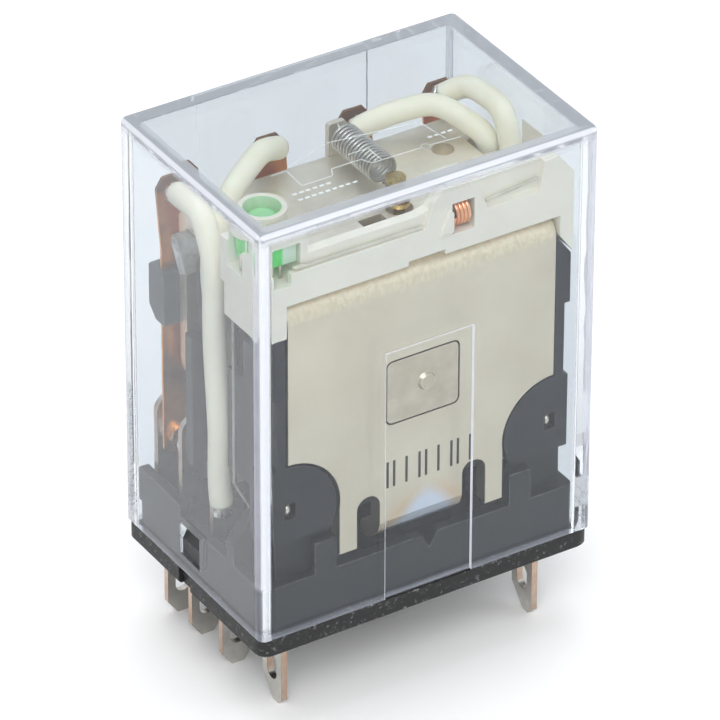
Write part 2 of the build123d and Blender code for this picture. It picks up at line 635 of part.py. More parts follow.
# ================================================================== indicator lamp and its carrier
bar_front = -8.2
bar_rear = -6.9
bar_bottom = 28.6
ledge_z = 31.1
bar_top = 32.1
lamp_x = -10.95
lamp_y = -4.9
lamp_r = 1.3
lamp_seat = 31.2
lamp_top = 33.4
cup_r = 1.75
cup_top = 34.0
with BuildPart() as led_holder:
    # long bar above the yoke's bend, thick below the ledge and thin above it
    with BuildSketch(Plane.XZ.offset(-bar_rear)):
        with BuildLine():
            Polyline((-12.6, bar_bottom), (12.4, bar_bottom), (12.4, 32.0), (11.0, 33.6), (4.2, 33.5),
                     (3.5, 33.9), (1.4, 33.9), (1.1, 33.0), (0.6, 32.3), (-0.4, bar_top), (-9.3, bar_top),
                     (-9.3, 33.7), (-12.6, 33.7), close=True)
        make_face()
    extrude(amount=bar_rear - bar_front - 0.5)
    with BuildSketch(Plane.XZ.offset(-bar_front - 0.5)):
        with BuildLine():
            Polyline((-12.6, bar_bottom), (-1.35, bar_bottom), (-1.35, bar_bottom + 0.4),
                     (1.7, bar_bottom + 0.4), (1.7, bar_bottom), (12.4, bar_bottom), (12.4, 32.0),
                     (11.0, 33.6), (9.9, 33.5), (9.5, 31.2), (5.2, 31.2), (4.2, 33.3), (3.5, 33.9),
                     (1.4, 33.9), (0.7, 33.0), (0.1, ledge_z), (-12.6, ledge_z), close=True)
        make_face()
    extrude(amount=0.5)
    # tooth that covers the inner end of the small coil
    with BuildSketch(Plane.XZ.offset(-bar_front)):
        with BuildLine():
            Polyline((1.15, 30.3), (2.25, 30.3), (2.25, 31.9), (2.05, 32.1), (1.85, 31.9), close=True)
        make_face()
    extrude(amount=0.22)
    # lamp housing at the left end, and the cup round the lamp
    with BuildSketch(Plane.XY.offset(bar_bottom)):
        with Locations(((-12.6 - 9.3) / 2, (bar_rear - 3.1) / 2)):
            Rectangle(3.3, -3.1 - bar_rear)
    extrude(amount=32.2 - bar_bottom)
    with BuildSketch(Plane.XY.offset(32.0)):
        with Locations((lamp_x, lamp_y)):
            Circle(cup_r)
    extrude(amount=cup_top - 32.0)
    # box behind the bar for the small coil
    with BuildSketch(Plane.XY.offset(bar_bottom + 0.8)):
        with Locations((3.15, (bar_rear - 5.55) / 2)):
            Rectangle(2.8, -5.55 - bar_rear)
    extrude(amount=32.85 - bar_bottom - 0.8)
    # legs that stand on the bobbin's wings
    with BuildSketch(Plane.YZ.offset(-12.6)):
        with Locations(((bar_front - 3.6) / 2, (25.95 + bar_bottom) / 2 + 0.1)):
            Rectangle(-3.6 - bar_front, bar_bottom - 25.95 + 0.2)
    extrude(amount=1.3)
    with BuildSketch(Plane.XZ.offset(3.6)):
        with BuildLine():
            Polyline((11.3, 26.9), (12.4, 25.35), (12.4, 32.0), (11.3, 33.3), close=True)
        make_face()
    extrude(amount=-3.6 - bar_front)
    # lamp bore
    with BuildSketch(Plane.XY.offset(lamp_seat)):
        with Locations((lamp_x, lamp_y)):
            Circle(lamp_r + 0.06)
    extrude(amount=5, mode=Mode.SUBTRACT)
    # front slot and side slot that show the lamp and its legs
    with BuildSketch(Plane.XY.offset(30.2)):
        with Locations((-11.6, -8.0)):
            Rectangle(1.4, 1.0)
        with Locations((-11.05, -6.5)):
            Rectangle(2.4, 2.4)
        with Locations((-12.4, -5.0)):
            Rectangle(1.6, 2.0)
    extrude(amount=2.9, mode=Mode.SUBTRACT)
    # pocket for the small coil
    with BuildSketch(Plane.XZ.offset(5.9)):
        with Locations((3.15, 31.25)):
            Rectangle(1.85, 2.5)
    extrude(amount=2.3, mode=Mode.SUBTRACT)
led_holder.part.label = "led_holder"
export_step(led_holder.part, "parts/led_holder.step")

with BuildPart() as led_lamp:
    with BuildSketch(Plane.XY.offset(lamp_seat + 0.05)):
        with Locations((lamp_x, lamp_y)):
            Circle(lamp_r)
    extrude(amount=lamp_top - lamp_seat - 0.05)
    fillet(led_lamp.faces().sort_by(Axis.Z)[-1].edges(), 0.7)
    # flat foot of the lamp, seen through the front slot
    with BuildSketch(Plane.XY.offset(lamp_seat + 0.3)):
        with Locations((-11.05, (-7.35 - 5.5) / 2)):
            Rectangle(2.1, 7.35 - 5.5)
    extrude(amount=1.45)
led_lamp.part.label = "led_lamp"
export_step(led_lamp.part, "parts/led_lamp.step")


def round_wire(points, radii, section_r):
    """Length of round wire or sleeve: straight runs joined by tangent arcs."""
    with BuildPart() as wire:
        with BuildLine() as route:
            FilletPolyline(*points, radius=radii)
        with BuildSketch(Plane(route.line @ 0, z_dir=route.line % 0)):
            Circle(section_r)
        sweep(path=route.line)
    return wire.part


wire_r = 0.14
wires = {
    "led_wire_left": [(-12.3, -4.3, 25.9), (-12.3, -4.3, 12.0), (-11.15, -5.25, 9.4), (-11.15, -5.25, 7.0)],
    "led_wire_front": [(-10.4, -7.95, 31.42), (-9.6, -7.95, 31.29), (-0.1, -7.95, 31.29)],
    "led_wire_right": [(5.15, -8.0, 31.75), (9.45, -8.0, 32.25)],
}
for side, label in ((-1, "coil_wire_left"), (1, "coil_wire_right")):
    wires[label] = [(core_x + side * 7.35, -5.0, 11.65), (side * 10.2, -5.0, 7.6)]
for label, points in wires.items():
    if len(points) == 2:
        with BuildPart() as straight:
            with BuildLine() as run:
                Line(points[0], points[1])
            with BuildSketch(Plane(run.line @ 0, z_dir=run.line % 0)):
                Circle(wire_r)
            sweep(path=run.line)
        piece = straight.part
    else:
        piece = round_wire(points, 0.8, wire_r)
    piece.label = label
    export_step(piece, f"parts/{label}.step")

choke_r = 1.0
choke_y = -7.15
choke_turns = 5
choke_pitch = 0.33
with BuildPart() as choke_coil:
    for turn in range(choke_turns):
        with BuildSketch(Plane.XY.offset(31.25)):
            with Locations((2.49 + choke_pitch * turn, choke_y - choke_r)):
                Circle(choke_pitch * 0.5 + 0.005)
        revolve(axis=Axis((0, choke_y, 31.25), (1, 0, 0)))
choke_coil.part.label = "choke_coil"
export_step(choke_coil.part, "parts/choke_coil.step")

# ================================================================== flexible leads
routes = {
    "flex_lead_1": [(-10.73, 5.4, 30.4), (-11.9, 3.9, 31.6), (-12.1, 0.2, 32.1), (-12.05, -1.3, 29.0),
                    (-12.05, -1.3, 22.0), (-12.05, -1.9, 15.0), (-11.9, -1.5, 10.4), (-11.7, -1.45, 8.5)],
    "flex_lead_2": [(-3.4, 5.3, 31.0), (-5.6, 4.0, 32.2), (-9.9, 1.1, 31.7), (-11.15, 0.45, 28.8),
                    (-11.15, 0.45, 25.5), (-10.35, 0.45, 21.0), (-10.35, 0.45, 9.2), (-3.57, 0.6, 9.2),
                    (-3.57, 0.6, 6.6)],
    "flex_lead_3": [(2.9, 5.2, 30.4), (4.6, 4.7, 31.3), (8.8, 3.9, 31.7), (11.2, 0.4, 29.9),
                    (11.2, 0.4, 9.2), (3.57, 0.6, 9.2), (3.57, 0.6, 6.6)],
    "flex_lead_4": [(10.5, 5.5, 30.8), (11.9, 4.4, 32.0), (12.1, 0.0, 32.1), (12.05, -1.4, 28.5),
                    (12.05, -1.9, 15.0), (11.9, -1.5, 10.4), (11.7, -1.45, 8.5)],
}
bends = {
    "flex_lead_1": [1.0, 1.5, 1.5, 3.0, 3.0, 3.0],
    "flex_lead_2": [1.5, 1.5, 1.5, 3.0, 3.0, 2.0, 1.5],
    "flex_lead_3": [1.2, 2.0, 2.0, 2.0, 1.5],
    "flex_lead_4": [1.0, 1.5, 2.5, 3.0, 2.0],
}
for label, points in routes.items():
    lead = round_wire(points, bends[label], lead_r)
    lead.label = label
    export_step(lead, f"parts/{label}.step")
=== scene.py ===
# Four-pole plug-in relay: materials, fine pieces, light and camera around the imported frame.
# Lengths are millimetres in the part's own frame unless a comment says metres; make_mesh() makes them metres.
import math

import bpy
from mathutils import Matrix, Vector, noise


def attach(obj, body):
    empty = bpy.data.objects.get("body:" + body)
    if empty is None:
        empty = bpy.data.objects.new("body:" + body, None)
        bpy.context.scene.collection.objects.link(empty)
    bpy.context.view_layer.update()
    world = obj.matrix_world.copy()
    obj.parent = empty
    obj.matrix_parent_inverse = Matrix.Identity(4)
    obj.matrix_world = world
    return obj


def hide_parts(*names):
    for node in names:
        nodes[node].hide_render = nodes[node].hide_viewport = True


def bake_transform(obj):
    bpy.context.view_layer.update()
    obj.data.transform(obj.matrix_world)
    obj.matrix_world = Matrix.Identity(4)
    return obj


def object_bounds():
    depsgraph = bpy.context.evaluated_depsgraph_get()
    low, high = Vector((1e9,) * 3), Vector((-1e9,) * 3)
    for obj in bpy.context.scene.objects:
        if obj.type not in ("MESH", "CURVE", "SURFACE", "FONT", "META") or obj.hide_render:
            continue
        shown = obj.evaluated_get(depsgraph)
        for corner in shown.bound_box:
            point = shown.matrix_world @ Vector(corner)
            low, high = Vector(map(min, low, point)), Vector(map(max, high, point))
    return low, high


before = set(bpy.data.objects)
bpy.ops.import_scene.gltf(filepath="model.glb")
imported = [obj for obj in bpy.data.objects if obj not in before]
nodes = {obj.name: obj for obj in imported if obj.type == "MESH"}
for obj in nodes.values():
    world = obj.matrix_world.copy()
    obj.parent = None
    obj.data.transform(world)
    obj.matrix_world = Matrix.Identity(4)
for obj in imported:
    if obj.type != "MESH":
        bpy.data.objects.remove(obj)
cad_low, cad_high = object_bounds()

MM = 0.001


# ------------------------------------------------------------------ material helpers
def srgb(red, green, blue):
    """Display colour, 0 to 255 a channel, as the linear colour that shaders take."""
    def lift(value):
        value /= 255
        return value / 12.92 if value <= 0.04045 else ((value + 0.055) / 1.055) ** 2.4
    return (lift(red), lift(green), lift(blue), 1.0)


class Shader:
    """A material with one Principled shader, whose textures are measured in millimetres."""

    def __init__(self, name):
        self.material = bpy.data.materials.new(name)
        self.material.use_nodes = True
        self.tree = self.material.node_tree
        self.tree.nodes.clear()
        self.output = self.add("ShaderNodeOutputMaterial")
        self.main = self.add("ShaderNodeBsdfPrincipled")
        self.link(self.main.outputs[0], self.output.inputs["Surface"])
        place = self.add("ShaderNodeTexCoord")
        scale = self.add("ShaderNodeMapping")
        scale.inputs["Scale"].default_value = (1 / MM, 1 / MM, 1 / MM)
        self.link(place.outputs["Object"], scale.inputs["Vector"])
        self.mm = scale.outputs[0]
        self.bumps = None

    def add(self, kind):
        return self.tree.nodes.new(kind)

    def link(self, start, end):
        self.tree.links.new(start, end)

    def stretched(self, factors):
        node = self.add("ShaderNodeVectorMath")
        node.operation = "MULTIPLY"
        node.inputs[1].default_value = factors
        self.link(self.mm, node.inputs[0])
        return node.outputs[0]

    def noise(self, per_mm, detail=3.0, rough=0.55, stretch=None):
        node = self.add("ShaderNodeTexNoise")
        node.inputs["Scale"].default_value = per_mm
        node.inputs["Detail"].default_value = detail
        node.inputs["Roughness"].default_value = rough
        self.link(self.stretched(stretch) if stretch else self.mm, node.inputs["Vector"])
        return node.outputs["Fac"]

    def span(self, value, low, high, to_low=0.0, to_high=1.0):
        """Value moved from low..high to to_low..to_high, clamped."""
        node = self.add("ShaderNodeMapRange")
        node.inputs["From Min"].default_value = low
        node.inputs["From Max"].default_value = high
        node.inputs["To Min"].default_value = to_low
        node.inputs["To Max"].default_value = to_high
        self.link(value, node.inputs["Value"])
        return node.outputs[0]

    def math(self, operation, first, second=0.0):
        node = self.add("ShaderNodeMath")
        node.operation = operation
        for slot, value in zip(node.inputs, (first, second)):
            if isinstance(value, (int, float)):
                slot.default_value = value
            else:
                self.link(value, slot)
        return node.outputs[0]

    def times(self, first, second):
        return self.math("MULTIPLY", first, second)

    def most(self, first, second):
        return self.math("MAXIMUM", first, second)

    def less(self, first, second):
        return self.math("SUBTRACT", first, second)

    def size(self, value):
        return self.math("ABSOLUTE", value)

    def axis(self, name):
        """One coordinate, in millimetres."""
        node = self.add("ShaderNodeSeparateXYZ")
        self.link(self.mm, node.inputs[0])
        return node.outputs[name]

    def mix(self, amount, first, second):
        """Colour between two colours or sockets."""
        node = self.add("ShaderNodeMix")
        node.data_type = "RGBA"
        self.link(amount, node.inputs["Factor"])
        for slot, value in ((node.inputs[6], first), (node.inputs[7], second)):
            if isinstance(value, tuple):
                slot.default_value = value
            else:
                self.link(value, slot)
        return node.outputs[2]

    def edges(self, radius=0.07, low=0.004, high=0.09):
        """1 along sharp edges, 0 on the flats."""
        rounded = self.add("ShaderNodeBevel")
        rounded.samples = 4
        rounded.inputs["Radius"].default_value = radius * MM
        plain = self.add("ShaderNodeNewGeometry")
        dot = self.add("ShaderNodeVectorMath")
        dot.operation = "DOT_PRODUCT"
        self.link(rounded.outputs[0], dot.inputs[0])
        self.link(plain.outputs["Normal"], dot.inputs[1])
        return self.span(self.less(1.0, dot.outputs["Value"]), low, high)

    def bump(self, height, distance):
        """Adds a height of so many millimetres to the surface."""
        node = self.add("ShaderNodeBump")
        node.inputs["Distance"].default_value = distance * MM
        node.inputs["Strength"].default_value = 1.0
        self.link(height, node.inputs["Height"])
        if self.bumps is not None:
            self.link(self.bumps, node.inputs["Normal"])
        self.bumps = node.outputs[0]
        self.link(self.bumps, self.main.inputs["Normal"])

    def set(self, **values):
        for name, value in values.items():
            self.main.inputs[name.replace("_", " ")].default_value = value

    def colour(self, socket):
        self.link(socket, self.main.inputs["Base Color"])

    def painted(self):
        """The socket that gives the base colour so far."""
        return self.main.inputs["Base Color"].links[0].from_socket

    def rough(self, socket):
        self.link(socket, self.main.inputs["Roughness"])


def metal(name, light, dark, rough, patch=0.35, grain=5.0, bump=0.004, stretch=None, edge_wear_and_sheen=None):
    """Plated or bare metal: blotches, fine grain, edges in a colour of their own: rubbed through on some parts, a
    painted highlight on others.
    """
    shader = Shader(name)
    shader.set(Metallic=1.0)
    blotch = shader.span(shader.noise(patch, 5.0, 0.6), 0.33, 0.67)
    colour = shader.mix(blotch, dark, light)
    if edge_wear_and_sheen:
        colour = shader.mix(shader.edges(), colour, edge_wear_and_sheen)
    shader.colour(colour)
    fine = shader.noise(grain, 4.0, 0.6, stretch)
    shader.rough(shader.span(fine, 0.3, 0.7, *rough))
    shader.bump(fine, bump)
    return shader


def plastic(name, light, dark, rough, patch=0.4, grain=9.0, bump=0.006, edge_wear_and_sheen=None, speckle=0.0, soft=0.0):
    """Moulded plastic: faint colour drift, fine grain, edges in a colour of their own with specks: rubbed on some
    parts, a painted highlight on others.
    """
    shader = Shader(name)
    drift = shader.span(shader.noise(patch, 4.0, 0.6), 0.3, 0.7)
    colour = shader.mix(drift, dark, light)
    if edge_wear_and_sheen:
        wear_and_sheen = shader.edges(0.12)
        if speckle:
            wear_and_sheen = shader.times(wear_and_sheen, shader.span(shader.noise(speckle, 3.0, 0.7), 0.42, 0.62))
        colour = shader.mix(wear_and_sheen, colour, edge_wear_and_sheen)
    shader.colour(colour)
    fine = shader.noise(grain, 3.0, 0.6)
    shader.rough(shader.span(fine, 0.3, 0.7, *rough))
    shader.bump(fine, bump)
    if soft:
        shader.set(Subsurface_Weight=soft, Subsurface_Scale=0.6 * MM)
    return shader


def dress(shader, *names):
    """Gives a material to CAD nodes, in every slot they have."""
    for name in names:
        for slot in nodes[name].material_slots:
            slot.material = shader.material



# ------------------------------------------------------------------ materials
# the clear case: distances from the middle in X and in Y, and heights in Z, that place its painted reflections and
# highlights
CASE_INSIDE = (13.2, 8.7)       # inner faces of the side walls
CASE_HIGHLIGHT_LINE = (13.8, 9.3)      # thin bright line along the outer edges
RIM_INSIDE = (13.0, 8.5)        # inner side of the roof's milky rims
WIDE_RIM_INSIDE = (12.4, 7.9)   # the same on the right and rear sides, where the rims are wider
ROOF_TINT_Z, RIM_Z, RIM_FULL_Z, RIDGE_Z = 34.2, 34.5, 34.95, 35.1
CASE_FOOT_Z = 1.85
PANEL_HALF, PANEL_TOP_Z = 3.65, 22.5


def clear_case():
    """Bends light for the eye, lets the lamps' light straight in, and has painted reflections along its moulded
    edges: milky bands and thin bright lines.
    """
    case = Shader("case_clear")
    case.set(Transmission_Weight=1.0, IOR=1.56, Specular_Tint=(0.5, 0.52, 0.56, 1.0))
    x, y, z = case.axis("X"), case.axis("Y"), case.axis("Z")
    far_x, far_y = case.size(x), case.size(y)
    sides = case.mix(case.span(case.noise(0.08, 2.0), 0.3, 0.7), srgb(232, 236, 240), srgb(236, 240, 243))
    case.colour(case.mix(case.span(z, ROOF_TINT_Z, ROOF_TINT_Z + 0.1), sides, srgb(222, 226, 228)))
    scratch = case.noise(1.6, 6.0, 0.75, (1.0, 1.0, 0.2))
    case.rough(case.span(scratch, 0.55, 0.8, 0.012, 0.06))
    case.bump(case.noise(0.22, 1.0), 0.012)

    def beyond(limits, width):
        """Two masks, 1 where X and Y are further out than their limits, easing in over the width."""
        return [case.span(far, limit - width, limit) for far, limit in zip((far_x, far_y), limits)]

    # painted reflection, as milky bands: the four upright corners, the roof's rims and the foot
    corners = case.times(*beyond(CASE_INSIDE, 0.1))
    crown = case.times(case.span(z, RIM_Z, RIM_Z + 0.1), case.span(z, RIM_FULL_Z, RIM_FULL_Z + 0.15, 0.5, 1.0))
    rims = case.most(*beyond(RIM_INSIDE, 0.12))
    for coordinate, limit in zip((x, y), WIDE_RIM_INSIDE):
        rims = case.most(rims, case.span(coordinate, limit - 0.15, limit + 0.15))
    rims = case.times(crown, rims)
    foot = case.span(z, CASE_FOOT_Z, CASE_FOOT_Z - 0.1)
    edge = case.most(case.most(corners, rims), foot)

    # painted highlights, as thin bright lines: the outline of the front's shallow panel, and the outermost edges
    from_side, from_top = case.less(far_x, PANEL_HALF), case.less(z, PANEL_TOP_Z)
    panel_side = case.times(case.span(case.size(from_side), 0.05, 0.02),
                            case.span(z, PANEL_TOP_Z + 0.2, PANEL_TOP_Z + 0.1))
    panel_top = case.times(case.span(case.size(from_top), 0.05, 0.02), case.span(from_side, 0.12, 0.08))
    panel = case.times(case.span(y, -9.1, -9.2), case.most(panel_side, panel_top))
    thin_x, thin_y = beyond(CASE_HIGHLIGHT_LINE, 0.08)
    ridge = case.span(z, RIDGE_Z, RIDGE_Z + 0.1)
    upper = case.span(z, 5.8, 6.2, 0.3, 1.0)
    line = case.most(case.times(thin_x, thin_y), case.times(ridge, case.most(thin_x, thin_y)))
    line = case.most(case.times(line, upper), case.times(panel, 0.9))

    # how much of the surface is painted reflection, and its colour: greyer on the rims, near white on the thin lines
    cloud = case.span(case.noise(0.35, 2.0), 0.3, 0.7, 0.4, 0.5)
    share = case.times(case.most(case.times(edge, upper), panel), cloud)
    share = case.most(share, case.times(rims, 0.76))
    share = case.most(share, case.times(line, 0.72))
    painted_reflection = case.add("ShaderNodeBsdfPrincipled")
    painted_reflection.inputs["Roughness"].default_value = 0.25
    painted_reflection.inputs["Transmission Weight"].default_value = 0.0
    reflection_colour = case.mix(rims, srgb(208, 210, 224), srgb(164, 169, 176))
    case.link(case.mix(line, reflection_colour, srgb(232, 234, 242)), painted_reflection.inputs["Base Color"])

    # the last mix lets shadow rays through
    open_way = case.add("ShaderNodeBsdfTransparent")
    open_way.inputs[0].default_value = (0.9, 0.92, 0.95, 1.0)
    surface = case.main.outputs[0]
    for amount, other in ((share, painted_reflection), (case.add("ShaderNodeLightPath").outputs["Is Shadow Ray"], open_way)):
        blend = case.add("ShaderNodeMixShader")
        case.link(amount, blend.inputs[0])
        case.link(surface, blend.inputs[1])
        case.link(other.outputs[0], blend.inputs[2])
        surface = blend.outputs[0]
    case.link(surface, case.output.inputs["Surface"])
    return case


def base_moulding():
    """Dark plastic with speckled edges, partly rubbed and partly a painted highlight; painted shade darkens the well
    inside the rim; blacker, with scuffed specks, on the flange.
    """
    # its lighter speckled edges are rubbing with a painted highlight, brightest along the rim's top
    base = plastic("base_plastic", srgb(43, 44, 46), srgb(34, 35, 37), (0.42, 0.62), patch=0.5,
                   grain=7.0, bump=0.012, edge_wear_and_sheen=srgb(146, 148, 152), speckle=4.0)
    # painted shade: the well inside the rim is darkened
    well = base.times(base.span(base.size(base.axis("Y")), 8.28, 8.2),
                      base.span(base.size(base.axis("X")), 12.78, 12.7))
    base.colour(base.mix(base.times(well, 0.75), base.painted(), srgb(12, 12, 14)))
    flange = base.span(base.axis("Z"), 1.62, 1.52)
    specks = base.span(base.noise(2.6, 6.0, 0.8), 0.58, 0.67)
    scuffs = base.mix(specks, srgb(14, 14, 15), srgb(138, 138, 140))
    # the specks on the flange's edges are brighter still: rubbing with a painted highlight
    scuffs = base.mix(base.times(base.edges(0.2), specks), scuffs, srgb(190, 190, 192))
    base.colour(base.mix(flange, base.painted(), scuffs))
    base.bump(base.noise(1.7, 5.0, 0.7), 0.03)
    return base


LAMP_X, LAMP_Y = -10.95, -4.9


def carrier_moulding():
    """White plastic, with a painted green glow from the lamp on the cup round it."""
    holder = plastic("holder_white", srgb(240, 236, 222), srgb(234, 229, 214), (0.35, 0.5), grain=6.0,
                     bump=0.006, edge_wear_and_sheen=srgb(244, 241, 231), soft=0.15)
    near_x, near_y = holder.less(holder.axis("X"), LAMP_X), holder.less(holder.axis("Y"), LAMP_Y)
    near = holder.math("SQRT", holder.math("ADD", holder.times(near_x, near_x), holder.times(near_y, near_y)))
    # painted glow: green from the lamp laid on the cup's wall
    painted_glow = holder.times(holder.span(near, 1.46, 1.34, 0.0, 0.55), holder.span(holder.axis("Z"), 30.0, 32.0))
    holder.colour(holder.mix(painted_glow, holder.painted(), srgb(158, 222, 170)))
    return holder


TONGUE_FOOT_Z, TONGUE_X = 9.9, 0.5


def yoke_plate():
    """Satin plate: brighter over the bend, a painted highlight drawn along the grain; grey and blotched on the hinge
    lugs.
    """
    yoke = Shader("yoke_nickel")
    yoke.set(Metallic=1.0)
    x, y, z = yoke.axis("X"), yoke.axis("Y"), yoke.axis("Z")
    plate = yoke.mix(yoke.span(yoke.noise(0.16, 5.0, 0.6), 0.3, 0.7), srgb(224, 213, 190), srgb(234, 225, 204))
    grit = yoke.noise(4.0, 5.0, 0.7, (1.0, 1.0, 0.35))
    # painted highlight: the band over the bend is lighter cream, broken up along the grain
    over_bend = yoke.times(yoke.span(z, 26.3, 27.0), yoke.span(grit, 0.25, 0.55, 0.55, 1.0))
    drawn = yoke.span(yoke.noise(3.4, 5.0, 0.75, (1.0, 1.0, 0.45)), 0.35, 0.65)
    plate = yoke.mix(over_bend, plate, yoke.mix(drawn, srgb(224, 209, 178), srgb(244, 233, 206)))
    yoke.link(yoke.span(over_bend, 0.0, 1.0, 1.0, 0.55), yoke.main.inputs["Metallic"])

    # the tongue's foot leans back; painted reflections put a cool light in its middle and a warm one beside it
    drop = yoke.less(TONGUE_FOOT_Z, z)
    across = yoke.size(yoke.less(x, TONGUE_X))
    spread = yoke.less(across, yoke.times(drop, 0.8))
    on_foot = yoke.times(yoke.span(drop, 0.0, 1.6), yoke.span(y, -4.0, -6.0))
    on_foot = yoke.times(on_foot, yoke.span(across, 4.4, 3.9))
    warm, cool = srgb(226, 192, 150), srgb(222, 232, 244)
    for outer, inner, peak, colour in ((2.2, 0.6, 0.6, warm), (0.7, -0.7, 0.95, cool)):
        plate = yoke.mix(yoke.times(on_foot, yoke.span(spread, outer, inner, 0.0, peak)), plate, colour)

    lug = yoke.times(yoke.span(yoke.size(x), 10.9, 11.0), yoke.span(y, 1.0, 1.3))
    greys = yoke.mix(yoke.span(yoke.noise(0.8, 4.0, 0.6), 0.35, 0.65), srgb(120, 120, 120), srgb(198, 198, 196))
    plate = yoke.mix(lug, plate, greys)
    yoke.colour(yoke.mix(yoke.edges(0.08), plate, srgb(190, 180, 160)))
    yoke.rough(yoke.span(grit, 0.3, 0.7, 0.34, 0.5))
    yoke.bump(grit, 0.006)
    yoke.bump(over_bend, 0.02)
    return yoke


def blade_metal(name, thin_axis):
    """Tinned strip whose stamped thin sides show the copper alloy; thin_axis is across those sides."""
    blade = metal(name, srgb(214, 212, 206), srgb(184, 182, 176), (0.25, 0.42), grain=4.0,
                  stretch=(1.0, 1.0, 0.2), edge_wear_and_sheen=srgb(165, 120, 88))
    facing = blade.add("ShaderNodeSeparateXYZ")
    blade.link(blade.add("ShaderNodeNewGeometry").outputs["True Normal"], facing.inputs[0])
    cut = blade.span(blade.size(facing.outputs[thin_axis]), 0.75, 0.9, 0.0, 0.7)
    cut = blade.times(cut, blade.span(blade.noise(1.1, 4.0, 0.6), 0.3, 0.6, 0.55, 1.0))
    blade.colour(blade.mix(cut, blade.painted(), srgb(186, 146, 118)))
    return blade


def contact_metal():
    """Silver, with copper on the fixed contacts' riveted tails."""
    silver = metal("contact_silver", srgb(228, 226, 220), srgb(196, 190, 180), (0.2, 0.4))
    y = silver.axis("Y")
    tail = silver.most(silver.span(y, 3.5, 3.44), silver.span(y, 7.34, 7.4))
    silver.colour(silver.mix(tail, silver.painted(), srgb(222, 156, 128)))
    return silver


def changeover_bronze():
    """Bronze strip that the soldering has darkened towards the top."""
    strip = Shader("spring_bronze")
    strip.set(Metallic=1.0)
    cloud = strip.noise(0.9, 4.0, 0.6)
    heat = strip.math("ADD", strip.axis("Z"), strip.span(cloud, 0.2, 0.8, -0.9, 0.9))
    bronze = strip.mix(strip.span(cloud, 0.3, 0.7), srgb(220, 130, 46), srgb(242, 164, 76))
    bronze = strip.mix(strip.span(heat, 28.6, 30.4), bronze, srgb(122, 78, 50))
    strip.colour(strip.mix(strip.edges(0.05), bronze, srgb(236, 190, 130)))
    strip.rough(strip.span(strip.noise(5.0, 3.0), 0.3, 0.7, 0.28, 0.46))
    strip.bump(strip.noise(3.0, 3.0), 0.006)
    return strip


def winding_tape():
    """Glossy film with the turns of the winding telegraphing through."""
    film = Shader("tape")
    turns = film.add("ShaderNodeTexWave")
    turns.bands_direction = "Y"
    turns.inputs["Scale"].default_value = 1.3
    turns.inputs["Distortion"].default_value = 0.6
    film.link(film.mm, turns.inputs["Vector"])
    film.colour(film.mix(film.span(turns.outputs["Fac"], 0.2, 0.8), srgb(70, 46, 34), srgb(104, 66, 44)))
    film.rough(film.span(film.noise(1.5, 3.0), 0.3, 0.7, 0.12, 0.3))
    film.bump(turns.outputs["Fac"], 0.02)
    return film


def lamp_body():
    """Clear green with a faint painted glow, milky towards the rim of its top, frosted on the inner half of its
    foot.
    """
    lamp = Shader("lamp_green")
    cloudy = lamp.span(lamp.noise(1.4, 3.0), 0.35, 0.65)
    green = lamp.mix(cloudy, srgb(62, 196, 84), srgb(92, 222, 108))
    green = lamp.mix(lamp.span(lamp.axis("Z"), 32.9, 33.4, 0.0, 0.55), green, srgb(214, 240, 218))
    frosted = lamp.times(lamp.span(lamp.axis("X"), -11.2, -11.0), lamp.span(lamp.axis("Y"), -6.4, -6.6))
    lamp.colour(lamp.mix(frosted, green, srgb(222, 230, 218)))
    lamp.rough(lamp.span(cloudy, 0.0, 1.0, 0.12, 0.2))
    # the weak green emission is a painted glow in place of light passing through the body; the lamp is not lit
    lamp.set(Transmission_Weight=0.15, IOR=1.5, Subsurface_Weight=0.5, Subsurface_Scale=1.2 * MM,
             Emission_Color=srgb(60, 200, 84), Emission_Strength=0.12)
    lamp.bump(cloudy, 0.01)
    return lamp


case_clear = clear_case()
base_plastic = base_moulding()
bobbin_plastic = plastic("bobbin_plastic", srgb(32, 33, 36), srgb(23, 24, 27), (0.38, 0.55), grain=8.0,
                         bump=0.008, edge_wear_and_sheen=srgb(84, 86, 90), speckle=3.0)
card_plastic = plastic("card_plastic", srgb(70, 75, 77), srgb(56, 60, 62), (0.4, 0.58), grain=8.0,
                       bump=0.008, edge_wear_and_sheen=srgb(110, 116, 118), speckle=3.0)
holder_white = carrier_moulding()
lead_sleeve = plastic("lead_sleeve", srgb(247, 245, 226), srgb(240, 237, 215), (0.4, 0.58), patch=0.5,
                      grain=5.0, bump=0.012, soft=0.2)
yoke_nickel = yoke_plate()
# the core's near-white edges are a painted highlight
core_nickel = metal("core_nickel", srgb(224, 214, 192), srgb(202, 190, 168), (0.3, 0.5), patch=0.5,
                    bump=0.01, edge_wear_and_sheen=srgb(252, 248, 238))
iron_nickel = metal("iron_nickel", srgb(246, 240, 226), srgb(228, 221, 206), (0.42, 0.58), bump=0.006,
                    edge_wear_and_sheen=srgb(150, 140, 128))
blade_tin = blade_metal("blade_tin", "X")
coil_blade_tin = blade_metal("coil_blade_tin", "Y")
contact_silver = contact_metal()
spring_steel = metal("spring_steel", srgb(206, 205, 202), srgb(176, 174, 170), (0.28, 0.42))
anchor_brass = metal("anchor_brass", srgb(222, 200, 140), srgb(190, 165, 105), (0.22, 0.4))
copper_wire = metal("copper_wire", srgb(250, 194, 150), srgb(230, 156, 110), (0.24, 0.4), grain=8.0)
tinned_wire = metal("tinned_wire", srgb(238, 234, 218), srgb(216, 211, 195), (0.3, 0.44), grain=8.0)
